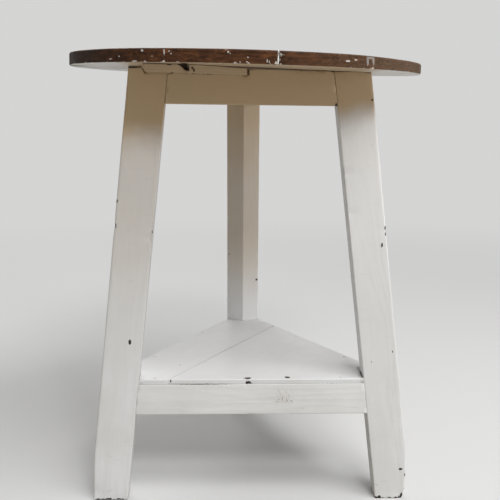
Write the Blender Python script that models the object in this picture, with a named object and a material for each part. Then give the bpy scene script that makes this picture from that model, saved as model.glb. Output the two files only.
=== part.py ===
"""A three-legged cricket table: a round top, splayed legs of kite section and a triangular shelf.

Lengths are in metres. The table's axis stands in the middle of the triangle that the faces of its
aprons and stretchers make. That triangle shrinks evenly from the floor to the top. The front side
faces -Y. Side 0 is the front, 1 the right and 2 the left. Each side runs from the leg of its own
number to the next leg: leg 0 is the left, 1 the right and 2 the back.
"""
import math

import bmesh
import bpy
from mathutils import Matrix, Vector

for old in list(bpy.data.objects):
    bpy.data.objects.remove(old, do_unlink=True)

# Fit of one piece in another
clearance = 0.0003
overrun = 0.002

# The triangle of the base: distance from the axis to the outer faces
underside_height = 0.655
reach_at_underside = 0.1038
reach_at_floor = 0.1451

# Legs
left_leg_width = 0.0604
right_leg_width = 0.0570
back_leg_width = 0.0596
leg_arris_radius = 0.003
leg_edge_radius = 0.0015
foot_chamfer = 0.001
foot_wear_height = 0.024
foot_wear_depth = 0.0085

# Top
top_radius = 0.2735
top_thickness = 0.0181
top_taper_share = 0.06
top_slope = math.radians(1.93)
top_offset_x = -0.0047
top_offset_y = 0.0083
top_upper_round = 0.0028
top_lower_round = 0.0016
top_seam_x = 0.029
rim_chip_bite = 0.0034
rim_chip_length = 0.007
rim_chip_end_share = 0.45
rim_chip_turns = [math.radians(angle) for angle in (-67.4, -42.7, 24.0, 118.0, 205.0)]
filler_width = 0.0016
filler_depth = 0.022

# Dowels across the top's seam
dowel_radius = 0.004
dowel_length = 0.050
dowel_chamfer = 0.0008
dowel_end_gap = 0.001
dowel_place_shares = (-0.6, 0.02, 0.62)

# Aprons
apron_depth = 0.052
apron_thickness = 0.020
apron_edge_slope = math.radians(1.14)
apron_edge_round = 0.0015
apron_hollow_depth = 0.0007
apron_hollow_start_share = -0.64
apron_hollow_end_share = 0.55

# Stretchers and shelf
shelf_height = 0.1912
shelf_thickness = 0.0072
shelf_edge_round = 0.0011
shelf_tip_radius = 0.008
shelf_seam_front_share = -0.5434
shelf_seam_back_share = 0.4975
shelf_notch_side = 0.004
shelf_notch_lap = 0.012
shelf_notch_behind = 0.030
shelf_lift = 0.001
shelf_lift_length = 0.120
shelf_lift_depth = 0.020
shelf_chip_place_share = -0.008
shelf_chip_width = 0.008
shelf_chip_height = 0.004
shelf_chip_depth = 0.003
stretcher_depth = 0.0475
stretcher_thickness = 0.022
stretcher_edge_round = 0.0015

# Tenons
tenon_thickness = 0.008
tenon_setback = 0.006
tenon_length = 0.026
tenon_end_gap = 0.001
apron_tenon_depth = 0.028
apron_tenon_drop = 0.017
stretcher_tenon_shoulder = 0.008

# Strip let into the head of the left leg and the front apron
strip_depth = 0.0093
strip_proud = 0.001
strip_let_in = 0.0065
strip_left_share = -0.880
strip_right_share = -0.022
strip_slot = 0.003
strip_ragged_length = 0.011
strip_ragged_shares = ((0.00, 0.00), (0.05, 0.22), (0.28, 0.30), (0.24, 0.46),
                       (0.56, 0.55), (0.54, 0.70), (1.0, 1.0))
strip_seat_slant_share = 0.6
strip_hole_start_share = -0.571
strip_hole_length = 0.020
strip_hole_let_in = 0.0045
strip_hole_shares = ((0.0, 0.0), (0.11, 0.16), (0.16, 0.28), (0.40, 0.60), (0.52, 0.66),
                     (0.66, 0.74), (0.64, 0.45), (0.56, 0.0))

# Screws that hold the top to the aprons
screw_place_shares = (-0.42, 0.42)
screw_depth_in_apron = 0.011
screw_length = 0.034
screw_grip = 0.022
screw_radius = 0.0021
screw_head_radius = 0.0041
screw_head_height = 0.0026
screw_tip_radius = 0.0005
screw_tip_length = 0.006
screw_slot_width = 0.0009
screw_slot_depth = 0.0010
counterbore_radius = 0.0050

# Nails that hold the shelf to the stretchers: side and place along it
nail_place_shares = {0: (-0.635, -0.013, 0.255, 0.60), 1: (-0.45, 0.15, 0.61), 2: (-0.28, 0.40)}
nail_depth_in_shelf = 0.0078
nail_length = 0.026
nail_radius = 0.0012
nail_head_radius = 0.0024
nail_head_height = 0.0012
nail_set = 0.0003
nail_tip_radius = 0.0004
nail_tip_length = 0.004

# Fineness of round shapes
top_segments = 160
small_segments = 28
arc_steps = 4
smooth_angle = math.radians(32)

# Linear colours, roughness and metallic
white_paint = ((0.66, 0.64, 0.60), 0.55, 0.0)
brown_wood = ((0.10, 0.050, 0.026), 0.62, 0.0)
pale_wood = ((0.45, 0.30, 0.16), 0.70, 0.0)
filler_white = ((0.78, 0.77, 0.74), 0.75, 0.0)
dull_steel = ((0.32, 0.31, 0.30), 0.45, 1.0)

leg_names = ("left", "right", "back")
leg_widths = (left_leg_width, right_leg_width, back_leg_width)
side_names = ("front", "right", "left")
up = Vector((0, 0, 1))
corner_ratio = math.sqrt(3)


def reach(height):
    """Distance from the axis to the outer faces at a height."""
    return reach_at_floor + (reach_at_underside - reach_at_floor) * height / underside_height


def side_axes(side):
    """The outward direction of a side and the direction from its first leg to its second."""
    turn = math.radians(120) * side - math.radians(90)
    out = Vector((math.cos(turn), math.sin(turn), 0))
    return out, Vector((-out.y, out.x, 0))


def on_side(side, along_side, depth, height):
    """A point at a place along a side, a depth behind its leaning outer face and a height."""
    out, along = side_axes(side)
    return along * along_side + out * (reach(height) - depth) + up * height


def half_side(height):
    """Half the length of a side between the outermost corners of its legs."""
    return corner_ratio * reach(height)


def shoulder_place(side, end, height, gap=0.0):
    """Place along a side of the cheek of its first leg (end -1) or second leg (end 1)."""
    leg = side if end < 0 else (side + 1) % 3
    return end * (half_side(height) - leg_widths[leg] - gap)


def mesh_from_rings(rings):
    """A closed mesh through rings of equally many points, with a flat face at each end."""
    mesh = bmesh.new()
    loops = [[mesh.verts.new(point) for point in ring] for ring in rings]
    for lower, upper in zip(loops, loops[1:]):
        for number, vertex in enumerate(lower):
            following = (number + 1) % len(lower)
            mesh.faces.new((vertex, lower[following], upper[following], upper[number]))
    mesh.faces.new(loops[0])
    mesh.faces.new(loops[-1])
    bmesh.ops.recalc_face_normals(mesh, faces=mesh.faces[:])
    return mesh


def rounded(corners, radii):
    """An outline through corners that are each turned on a radius of their own, or left sharp at 0."""
    points = []
    for number, here in enumerate(corners):
        if radii[number] == 0:
            points.append(here)
            continue
        before = (corners[number - 1] - here).normalized()
        after = (corners[(number + 1) % len(corners)] - here).normalized()
        half = before.angle(after) / 2
        radius = radii[number]
        centre = here + (before + after).normalized() * (radius / math.sin(half))
        start = here + before * (radius / math.tan(half)) - centre
        end = here + after * (radius / math.tan(half)) - centre
        turn_axis = start.cross(end).normalized()
        for step in range(arc_steps + 1):
            turned_by = Matrix.Rotation(start.angle(end) * step / arc_steps, 3, turn_axis)
            points.append(centre + turned_by @ start)
    return points


def turned_rings(profile, segments):
    """Rings about the Z axis through pairs of radius and height."""
    angles = [math.tau * number / segments for number in range(segments)]
    return [[Vector((radius * math.cos(angle), radius * math.sin(angle), height)) for angle in angles]
            for radius, height in profile]


def cut_off(mesh, point, normal):
    """Removes what lies beyond a plane and closes the cut."""
    everything = mesh.verts[:] + mesh.edges[:] + mesh.faces[:]
    cut = bmesh.ops.bisect_plane(mesh, geom=everything, plane_co=point, plane_no=normal, clear_outer=True)
    rim = [part for part in cut["geom_cut"] if isinstance(part, bmesh.types.BMEdge)]
    bmesh.ops.edgeloop_fill(mesh, edges=rim)
    bmesh.ops.recalc_face_normals(mesh, faces=mesh.faces[:])


def soften(mesh, edges, size):
    """Rounds edges of a mesh over a given width."""
    bmesh.ops.bevel(mesh, geom=edges, offset=size, segments=2, profile=0.5, affect="EDGES")


def add_object(name, mesh, placing=None):
    data = bpy.data.meshes.new(name)
    mesh.to_mesh(data)
    mesh.free()
    piece = bpy.data.objects.new(name, data)
    bpy.context.scene.collection.objects.link(piece)
    if placing is not None:
        piece.matrix_world = placing
    return piece


def add_piece(name, mesh, finish, placing=None):
    """A sub-part with its own material."""
    piece = add_object(name, mesh, placing)
    colour, roughness, metallic = finish
    material = bpy.data.materials.new(name)
    material.use_nodes = True
    shader = material.node_tree.nodes["Principled BSDF"]
    shader.inputs["Base Color"].default_value = (*colour, 1.0)
    shader.inputs["Roughness"].default_value = roughness
    shader.inputs["Metallic"].default_value = metallic
    piece.data.materials.append(material)
    piece.data.shade_smooth()
    piece.data.set_sharp_from_angle(angle=smooth_angle)
    return piece


def add_tool(name, mesh, placing=None):
    """A body that only shapes other pieces."""
    tool = add_object(name, mesh, placing)
    tool.hide_render = True
    tool.display_type = "WIRE"
    return tool


def combine(piece, tool, operation):
    step = piece.modifiers.new(tool.name, "BOOLEAN")
    step.operation = operation
    step.solver = "EXACT"
    step.object = tool


def take_away(piece, tool):
    combine(piece, tool, "DIFFERENCE")


# The plane of the top's underside and the lower edge of the aprons

under_point = up * underside_height
under_normal = Vector((math.sin(top_slope), 0, math.cos(top_slope)))
apron_edge_point = up * (underside_height - apron_depth)
apron_edge_normal = Vector((-math.sin(apron_edge_slope), 0, -math.cos(apron_edge_slope)))


def underside_at(x):
    return underside_height - math.tan(top_slope) * x


def underside_hit(side, along_side, depth):
    """Where the leaning line through a place and depth meets the underside."""
    foot = on_side(side, along_side, depth, 0)
    head = on_side(side, along_side, depth, underside_height)
    rise = (head - foot) / underside_height
    height = underside_at(foot.x) / (1 + math.tan(top_slope) * rise.x)
    return foot + rise * height, rise.normalized()


# Legs

def kite_ring(leg, height, extra=0.0):
    """The leg's section at a height, grown by extra on every face."""
    width = leg_widths[leg] + extra * (1 + corner_ratio)
    _, along = side_axes(leg)
    _, along_before = side_axes((leg + 2) % 3)
    outermost = (along_before - along).normalized()
    corner = outermost * 2 * (reach(height) + extra) + up * height
    inner = corner - outermost * (width / math.cos(math.radians(30)))
    corners = [corner, corner + along * width, inner, corner - along_before * width]
    edge = leg_edge_radius + extra
    return rounded(corners, [leg_arris_radius + extra, edge, edge, edge])


def kite_body(leg, low, high, extra=0.0):
    return mesh_from_rings([kite_ring(leg, low, extra), kite_ring(leg, high, extra)])


def make_leg(leg):
    head = underside_height + math.tan(top_slope) * half_side(underside_height) + overrun
    rings = [kite_ring(leg, 0, -foot_chamfer), kite_ring(leg, foot_chamfer), kite_ring(leg, head)]
    mesh = mesh_from_rings(rings)
    cut_off(mesh, under_point - under_normal * clearance, under_normal)
    if leg_names[leg] == "right":
        wear_foot(mesh, leg)
    return add_piece("leg_" + leg_names[leg], mesh, white_paint)


def wear_foot(mesh, leg):
    """Cuts the worn slant on the foot's outermost corner."""
    _, along = side_axes(leg)
    _, along_before = side_axes((leg + 2) % 3)
    outermost = (along_before - along).normalized()
    upper = outermost * 2 * reach(foot_wear_height) + up * foot_wear_height
    lower = outermost * (2 * reach_at_floor - foot_wear_depth)
    across = outermost.cross(up)
    normal = across.cross(upper - lower).normalized()
    cut_off(mesh, upper, normal if normal.dot(outermost) > 0 else -normal)


legs = [make_leg(leg) for leg in range(3)]


# Rails: aprons and stretchers, with a tenon at each end

def shoulder_cut(mesh, side, end):
    """Ends a rail just clear of a leg's cheek."""
    low = on_side(side, shoulder_place(side, end, 0, clearance), 0, 0)
    high = on_side(side, shoulder_place(side, end, underside_height, clearance), 0, underside_height)
    out, along = side_axes(side)
    normal = (high - low).cross(out).normalized()
    cut_off(mesh, low, normal if normal.dot(along) * end > 0 else -normal)


def tenon_body(side, end, low, high, extra, end_gap, root):
    """The tenon's block from inside the rail, or from just outside the leg, to its end."""
    rings = []
    for height in (low - extra, high + extra):
        cheek = shoulder_place(side, end, height)
        near = cheek - end * root
        far = cheek + end * (tenon_length + end_gap)
        front = tenon_setback - extra
        back = tenon_setback + tenon_thickness + extra
        places = ((near, front), (far, front), (far, back), (near, back))
        rings.append([on_side(side, place, depth, height) for place, depth in places])
    return mesh_from_rings(rings)


def rail_ring(side, place, low, high, thickness, radius):
    corners = [(0, low), (thickness, low), (thickness, high), (0, high)]
    return rounded([on_side(side, place, depth, height) for depth, height in corners], [radius] * 4)


def add_tenons(rail, side, low, high):
    """Gives a rail its two tenons and cuts their mortises into the legs."""
    for end in (-1, 1):
        label = rail.name + ("_start" if end < 0 else "_end")
        tenon = add_tool(label + "_tenon", tenon_body(side, end, low, high, 0, 0, tenon_length))
        combine(rail, tenon, "UNION")
        mortise = tenon_body(side, end, low, high, clearance, tenon_end_gap, overrun)
        leg = side if end < 0 else (side + 1) % 3
        take_away(legs[leg], add_tool(label + "_mortise", mortise))


def make_stretcher(side):
    high = shelf_height - shelf_thickness - clearance
    low = high - stretcher_depth
    half = half_side(low)
    rings = [rail_ring(side, place, low, high, stretcher_thickness, stretcher_edge_round)
             for place in (-half, half)]
    mesh = mesh_from_rings(rings)
    for end in (-1, 1):
        shoulder_cut(mesh, side, end)
    stretcher = add_piece("stretcher_" + side_names[side], mesh, white_paint)
    add_tenons(stretcher, side, low + stretcher_tenon_shoulder, high - stretcher_tenon_shoulder)
    return stretcher


def apron_lower_edges(mesh):
    """The long edges on the apron's lower face."""
    found = []
    for edge in mesh.edges:
        first, second = (vertex.co for vertex in edge.verts)
        on_plane = all(abs((point - apron_edge_point).dot(apron_edge_normal)) < clearance
                       for point in (first, second))
        if on_plane and (second - first).length > 2 * apron_thickness:
            found.append(edge)
    return found


def make_apron(side):
    half = half_side(0)
    high = underside_at(-half) + overrun
    low = underside_height - apron_depth - math.tan(apron_edge_slope) * half - overrun
    corners = ((0, low), (apron_thickness, low), (apron_thickness, high), (0, high))
    rings = [[on_side(side, place, depth, height) for depth, height in corners] for place in (-half, half)]
    mesh = mesh_from_rings(rings)
    cut_off(mesh, under_point - under_normal * clearance, under_normal)
    cut_off(mesh, apron_edge_point, apron_edge_normal)
    soften(mesh, apron_lower_edges(mesh), apron_edge_round)
    for end in (-1, 1):
        shoulder_cut(mesh, side, end)
    apron = add_piece("apron_" + side_names[side], mesh, white_paint)
    tenon_high = underside_height - apron_tenon_drop
    add_tenons(apron, side, tenon_high - apron_tenon_depth, tenon_high)
    return apron


stretchers = [make_stretcher(side) for side in range(3)]
aprons = [make_apron(side) for side in range(3)]


# Strip let into the left leg's head and the front apron

def front_point(place, depth, drop):
    """A point on the front side, a drop below the underside."""
    return on_side(0, place, depth, underside_at(place) - drop)


def front_slab(outline, front, back):
    """A body of an outline of places and drops, from one depth to another."""
    return mesh_from_rings([[front_point(place, depth, drop) for place, drop in outline]
                            for depth in (front, back)])


corner_half = half_side(underside_height)
strip_left = strip_left_share * corner_half
strip_right = strip_right_share * corner_half
hollow_start = apron_hollow_start_share * corner_half
hollow_end = apron_hollow_end_share * corner_half


def make_strip():
    ragged = [(strip_left + strip_ragged_length * place, clearance + (strip_depth - clearance) * drop)
              for place, drop in strip_ragged_shares]
    lower_right = (strip_right, strip_depth)
    upper_right = (strip_right, apron_hollow_depth)
    outline = ragged + [lower_right, upper_right, (hollow_start, clearance)]
    strip = add_piece("repair_strip", front_slab(outline, -strip_proud, strip_let_in), white_paint)
    hole_start = strip_hole_start_share * corner_half
    hole = [(hole_start + strip_hole_length * place, strip_depth * drop)
            for place, drop in strip_hole_shares]
    hole += [(hole[-1][0], -overrun), (hole[0][0], -overrun)]
    cutter = front_slab(hole, -overrun, strip_hole_let_in)
    take_away(strip, add_tool("strip_hole", cutter))


def cut_strip_seat():
    """The seat in the leg and the apron, with an open slot at the strip's right end."""
    left_top = strip_left - overrun
    left_foot = left_top + strip_ragged_length * strip_seat_slant_share
    lower = strip_depth + clearance
    outline = [(left_top, -overrun), (left_foot, lower), (strip_right + strip_slot, lower),
               (strip_right + strip_slot, -overrun)]
    seat = add_tool("strip_seat", front_slab(outline, -strip_proud - overrun, strip_let_in + clearance))
    take_away(legs[0], seat)
    take_away(aprons[0], seat)


def cut_apron_hollow():
    """The shallow dip in the front apron's upper edge."""
    outline = [(hollow_start, clearance), (strip_right, apron_hollow_depth), (hollow_end, clearance),
               (hollow_end, -overrun), (hollow_start, -overrun)]
    take_away(aprons[0], add_tool("apron_hollow", front_slab(outline, -overrun, apron_thickness + overrun)))


make_strip()
cut_strip_seat()
cut_apron_hollow()


# Top: two boards, a filled seam, three dowels and chips in the upper arris

top_placing = (Matrix.Translation((top_offset_x, top_offset_y, underside_at(top_offset_x)))
               @ Matrix.Rotation(top_slope, 4, "Y"))
seam_in_top = (top_seam_x - top_offset_x) / math.cos(top_slope)


def top_profile():
    """Radius and height of the top's edge, from the underside up."""
    quarter = math.radians(90)
    profile = []
    for radius, middle, first in ((top_lower_round, top_lower_round, -quarter),
                                  (top_upper_round, top_thickness - top_upper_round, 0)):
        for step in range(arc_steps + 1):
            angle = first + quarter * step / arc_steps
            edge = top_radius - radius + radius * math.cos(angle)
            profile.append((edge, middle + radius * math.sin(angle)))
    return profile


def top_disc():
    """The whole top, whose edge is thicker on the left and thinner on the right by the taper."""
    rings = turned_rings(top_profile(), top_segments)
    for ring in rings:
        for point in ring:
            point.z *= 1 - top_taper_share * point.x / top_radius
    return mesh_from_rings(rings)


def make_top_board(name, direction):
    """One board of the top, on one side of the seam."""
    mesh = top_disc()
    edge = Vector((seam_in_top + direction * clearance / 2, 0, 0))
    cut_off(mesh, edge, Vector((-direction, 0, 0)))
    return add_piece(name, mesh, brown_wood, top_placing)


def box(low, high):
    """A box between two corners."""
    floor = [Vector((x, y, low[2])) for x, y in
             ((low[0], low[1]), (high[0], low[1]), (high[0], high[1]), (low[0], high[1]))]
    return mesh_from_rings([floor, [point + up * (high[2] - low[2]) for point in floor]])


def boards_at(x_in_top, margin):
    """The top's boards that reach within a margin of a place across the seam."""
    beside = x_in_top - seam_in_top
    return [board for board, direction in zip(top_boards, (-1, 1)) if direction * beside > -margin]


def rim_chip(turn):
    """A short slanting bite in the top's upper arris."""
    rings = []
    for end, share in ((-1, rim_chip_end_share), (0, 1), (1, rim_chip_end_share)):
        bite = rim_chip_bite * share
        triangle = ((top_radius - bite, top_thickness + overrun),
                    (top_radius + overrun, top_thickness + overrun),
                    (top_radius + overrun, top_thickness - bite))
        rings.append([Vector((radius, end * rim_chip_length / 2, height)) for radius, height in triangle])
    return mesh_from_rings(rings), top_placing @ Matrix.Rotation(turn, 4, "Z")


def make_filler():
    """The hard filler in the front end of the seam, flush all round, and the slot that it fills."""
    front = -math.sqrt(top_radius ** 2 - seam_in_top ** 2)
    back = front + filler_depth
    half = filler_width / 2
    wide = half + clearance
    slot = box((seam_in_top - wide, front - overrun, -overrun),
               (seam_in_top + wide, back + clearance, top_thickness + overrun))
    slot = add_tool("filler_slot", slot, top_placing)
    for board in top_boards:
        take_away(board, slot)
    filler = top_disc()
    middle = Vector((seam_in_top, back, 0))
    cut_off(filler, middle, Vector((0, 1, 0)))
    for direction in (-1, 1):
        cut_off(filler, middle + Vector((direction * half, 0, 0)), Vector((direction, 0, 0)))
    add_piece("seam_filler", filler, filler_white, top_placing)


def make_dowel(number, share):
    placing = (top_placing @ Matrix.Translation((seam_in_top, top_radius * share, top_thickness / 2))
               @ Matrix.Rotation(math.radians(90), 4, "Y"))
    half = dowel_length / 2
    profile = ((dowel_radius - dowel_chamfer, -half), (dowel_radius, dowel_chamfer - half),
               (dowel_radius, half - dowel_chamfer), (dowel_radius - dowel_chamfer, half))
    dowel = mesh_from_rings(turned_rings(profile, small_segments))
    add_piece(f"top_dowel_{number}", dowel, pale_wood, placing)
    wall = dowel_radius + clearance
    bore = ((wall, -half - dowel_end_gap), (wall, half + dowel_end_gap))
    tool = add_tool(f"dowel_bore_{number}", mesh_from_rings(turned_rings(bore, small_segments)), placing)
    for board in top_boards:
        take_away(board, tool)


top_boards = [make_top_board("top_board_left", -1), make_top_board("top_board_right", 1)]
for number, turn in enumerate(rim_chip_turns):
    chip_mesh, chip_placing = rim_chip(turn)
    chip = add_tool(f"rim_chip_{number}", chip_mesh, chip_placing)
    for board in boards_at(top_radius * math.cos(turn), rim_chip_length):
        take_away(board, chip)
make_filler()
for number, share in enumerate(dowel_place_shares, start=1):
    make_dowel(number, share)


# Screws up through the aprons into the top

def screw_profile():
    """Radius and height from the head up to the tip."""
    shank = screw_length - screw_tip_length
    return ((screw_head_radius, 0), (screw_head_radius, screw_slot_depth),
            (screw_radius, screw_slot_depth + screw_head_height), (screw_radius, shank),
            (screw_tip_radius, screw_length))


def screw_hole_profile(apron_drop):
    """The hole's radius and height: counterbore, countersink and shank, all with clearance."""
    wall = clearance + screw_radius
    seat = clearance + screw_head_radius
    return ((counterbore_radius, -apron_drop), (counterbore_radius, 0), (seat, 0),
            (seat, screw_slot_depth), (wall, screw_slot_depth + screw_head_height),
            (wall, screw_length + clearance))


def make_screw(name, side, share):
    place = share * half_side(underside_height)
    hit, rise = underside_hit(side, place, screw_depth_in_apron)
    head = hit - rise * screw_grip
    placing = Matrix.Translation(head) @ up.rotation_difference(rise).to_matrix().to_4x4()
    screw = mesh_from_rings(turned_rings(screw_profile(), small_segments))
    screw = add_piece(name, screw, dull_steel, placing)
    slot = box((-screw_head_radius - overrun, -screw_slot_width / 2, -overrun),
               (screw_head_radius + overrun, screw_slot_width / 2, screw_slot_depth))
    take_away(screw, add_tool(name + "_slot", slot, placing))
    hole = mesh_from_rings(turned_rings(screw_hole_profile(apron_depth), small_segments))
    hole = add_tool(name + "_hole", hole, placing)
    take_away(aprons[side], hole)
    for board in boards_at((top_placing.inverted() @ hit).x, counterbore_radius):
        take_away(board, hole)


for side, side_name in enumerate(side_names):
    for number, share in enumerate(screw_place_shares, start=1):
        make_screw(f"top_screw_{side_name}_{number}", side, share)


# Shelf: two boards that lie on the stretchers and fit round the legs

def shelf_point(side, share):
    """A point on the shelf's edge, at a share of half the side from its middle."""
    return on_side(side, share * half_side(shelf_height), 0, shelf_height)


def shelf_corner(leg):
    """The two points inside a leg where the shelf's edges end."""
    inset = half_side(shelf_height) - leg_widths[leg] / 2
    return on_side((leg + 2) % 3, inset, 0, shelf_height), on_side(leg, -inset, 0, shelf_height)


def seam_point(side, share, direction):
    """A point where the shelf's seam meets an edge, half a clearance to one side of the seam."""
    _, along = side_axes(side)
    shift = direction * clearance / 2 / along.dot(seam_across)
    return shelf_point(side, share) + along * shift


seam_front = shelf_point(0, shelf_seam_front_share)
seam_back = shelf_point(1, shelf_seam_back_share)
seam_across = (seam_back - seam_front).cross(up).normalized()
shelf_under = shelf_height - shelf_thickness


def make_shelf_board(name, corners, radii, fitted_legs):
    """A board of an outline, softened along its upper edge and notched round legs."""
    upper = rounded(corners, radii)
    lower = [point - up * shelf_thickness for point in upper]
    mesh = mesh_from_rings([lower, upper])
    upper_edges = [edge for edge in mesh.edges
                   if all(abs(vertex.co.z - shelf_height) < clearance for vertex in edge.verts)]
    soften(mesh, upper_edges, shelf_edge_round)
    board = add_piece(name, mesh, white_paint)
    for leg in fitted_legs:
        take_away(board, leg_notches[leg])
    return board


def cut_square_notch(board):
    """The square notch behind the right leg, wider than the leg."""
    cheek = shoulder_place(0, 1, shelf_height)
    inner_corner = right_leg_width * math.tan(math.radians(30))
    near = inner_corner - shelf_notch_lap
    far = inner_corner + shelf_notch_behind
    end = half_side(shelf_under) + overrun
    places = ((cheek - shelf_notch_side, near), (end, near), (end, far), (cheek - shelf_notch_side, far))
    rings = [[on_side(0, place, depth, height) for place, depth in places]
             for height in (shelf_under - overrun, shelf_height + overrun)]
    take_away(board, add_tool("shelf_square_notch", mesh_from_rings(rings)))


def shelf_front_cut(name, outline, depth):
    """A tool of an outline of places and heights that cuts into the shelf's front edge."""
    return add_tool(name, mesh_from_rings([[on_side(0, place, behind, height) for place, height in outline]
                                           for behind in (-overrun, depth)]))


def cut_front_wear(board):
    """The crack under the board's lifted corner and the chip in its lower arris."""
    start = seam_front.x
    end = start + shelf_lift_length
    below = shelf_under - overrun
    lifted = [(start - overrun, below), (end, below), (end, shelf_under),
              (start - overrun, shelf_under + shelf_lift)]
    take_away(board, shelf_front_cut("shelf_lifted_corner", lifted, shelf_lift_depth))
    middle = shelf_chip_place_share * half_side(shelf_height)
    chip = [(middle - shelf_chip_width / 2, below), (middle + shelf_chip_width / 2, below),
            (middle, shelf_under + shelf_chip_height)]
    take_away(board, shelf_front_cut("shelf_edge_chip", chip, shelf_chip_depth))


leg_notches = [add_tool(f"leg_notch_{leg_names[leg]}",
                        kite_body(leg, shelf_under - overrun, shelf_height + overrun, clearance))
               for leg in range(3)]
left_corners = [*shelf_corner(0), seam_point(0, shelf_seam_front_share, -1),
                seam_point(1, shelf_seam_back_share, -1), *shelf_corner(2)]
right_corners = [seam_point(0, shelf_seam_front_share, 1), *shelf_corner(1),
                 seam_point(1, shelf_seam_back_share, 1)]
shelf_boards = [make_shelf_board("shelf_board_left", left_corners, [0] * 6, (0, 2)),
                make_shelf_board("shelf_board_right", right_corners, [0, 0, 0, shelf_tip_radius], (1,))]
cut_square_notch(shelf_boards[1])
cut_front_wear(shelf_boards[1])


# Nails through the shelf into the stretchers

def nail_profile():
    """Radius and height from the tip up to the head."""
    return ((nail_tip_radius, -nail_length), (nail_radius, nail_tip_length - nail_length),
            (nail_radius, -nail_head_height), (nail_head_radius, -nail_head_height / 2),
            (nail_head_radius, 0))


def nail_hole_profile():
    wall = nail_radius + clearance
    seat = nail_head_radius + clearance
    return ((wall, -nail_length - clearance), (wall, -nail_head_height - clearance),
            (seat, -nail_head_height / 2 - clearance), (seat, nail_set + overrun))


def make_nail(name, side, share):
    place = on_side(side, share * half_side(shelf_height), nail_depth_in_shelf, shelf_height)
    placing = Matrix.Translation(place - up * nail_set)
    add_piece(name, mesh_from_rings(turned_rings(nail_profile(), small_segments)), dull_steel, placing)
    hole = mesh_from_rings(turned_rings(nail_hole_profile(), small_segments))
    hole = add_tool(name + "_hole", hole, placing)
    take_away(stretchers[side], hole)
    beside = (place - seam_front).dot(seam_across)
    for board, direction in zip(shelf_boards, (-1, 1)):
        if direction * beside > -nail_head_radius:
            take_away(board, hole)


for side, shares in nail_place_shares.items():
    for number, share in enumerate(shares, start=1):
        make_nail(f"shelf_nail_{side_names[side]}_{number}", side, share)


# The origin: the middle of the bounding box, on the floor

def corners_of_part():
    """The lowest and highest x, y and z of all pieces with their cuts made."""
    bpy.context.view_layer.update()
    graph = bpy.context.evaluated_depsgraph_get()
    points = []
    for piece in bpy.data.objects:
        if not piece.hide_render:
            shaped = piece.evaluated_get(graph)
            points += [shaped.matrix_world @ vertex.co for vertex in shaped.data.vertices]
    return [[pick(point[axis] for point in points) for axis in range(3)] for pick in (min, max)]


low, high = corners_of_part()
to_origin = Vector((-(low[0] + high[0]) / 2, -(low[1] + high[1]) / 2, -low[2]))
for piece in bpy.data.objects:
    piece.location += to_origin
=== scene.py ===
"""Looks for a cricket table: worn white paint on its legs and shelf, and a bare brown top.

Lengths are in metres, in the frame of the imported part. The front faces -Y.
"""
import math

import bmesh
import bpy
from mathutils import Matrix, Vector, noise


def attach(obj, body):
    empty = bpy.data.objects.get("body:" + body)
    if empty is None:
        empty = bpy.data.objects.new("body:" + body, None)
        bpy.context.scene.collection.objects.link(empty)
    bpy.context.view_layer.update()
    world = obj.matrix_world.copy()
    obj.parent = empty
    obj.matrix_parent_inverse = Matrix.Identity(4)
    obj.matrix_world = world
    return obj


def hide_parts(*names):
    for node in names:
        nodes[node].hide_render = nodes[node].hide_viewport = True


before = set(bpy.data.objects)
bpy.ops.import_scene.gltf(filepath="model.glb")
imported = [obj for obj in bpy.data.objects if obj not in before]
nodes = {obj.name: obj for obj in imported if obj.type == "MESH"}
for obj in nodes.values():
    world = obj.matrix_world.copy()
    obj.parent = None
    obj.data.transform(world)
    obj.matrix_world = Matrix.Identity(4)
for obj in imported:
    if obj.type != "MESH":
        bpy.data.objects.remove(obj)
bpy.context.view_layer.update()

up = Vector((0, 0, 1))

# The table's axis at the floor, and the way that each of its three sides faces
axis_place = Vector((0.004429, -0.010937, 0))
side_turns = {"front": -90, "right": 30, "left": 150}

# The top, measured from the middle of its underside
top_slope = math.radians(1.93)
top_across = Vector((math.cos(top_slope), 0, -math.sin(top_slope)))
top_normal = Vector((math.sin(top_slope), 0, math.cos(top_slope)))
top_middle = Vector((-0.000271, -0.002637, 0.655158))
top_radius = 0.2735
top_seam = 0.0337


def outward(side):
    """The level direction that a side faces."""
    turn = math.radians(side_turns[side])
    return Vector((math.cos(turn), math.sin(turn), 0))


# Camera

def add_camera():
    """The camera of the photograph, which is cropped off its centre."""
    pitch = math.radians(10.6107)
    roll = math.radians(-0.3673)
    right = Vector((1, 0, 0))
    forward = Vector((0, math.cos(pitch), -math.sin(pitch)))
    above = right.cross(forward)
    tilted_right = right * math.cos(roll) + above * math.sin(roll)
    tilted_up = above * math.cos(roll) - right * math.sin(roll)
    lens = bpy.data.cameras.new("front_view")
    camera = bpy.data.objects.new("front_view", lens)
    bpy.context.scene.collection.objects.link(camera)
    camera.matrix_world = Matrix((tilted_right, tilted_up, -forward)).transposed().to_4x4()
    camera.location = (-0.04697, -1.32104, 0.6129)
    lens.sensor_width = 36
    lens.lens = 58.244
    lens.shift_x = 0.06876
    lens.clip_start = 0.01
    bpy.context.scene.camera = camera


# Node trees

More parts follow.
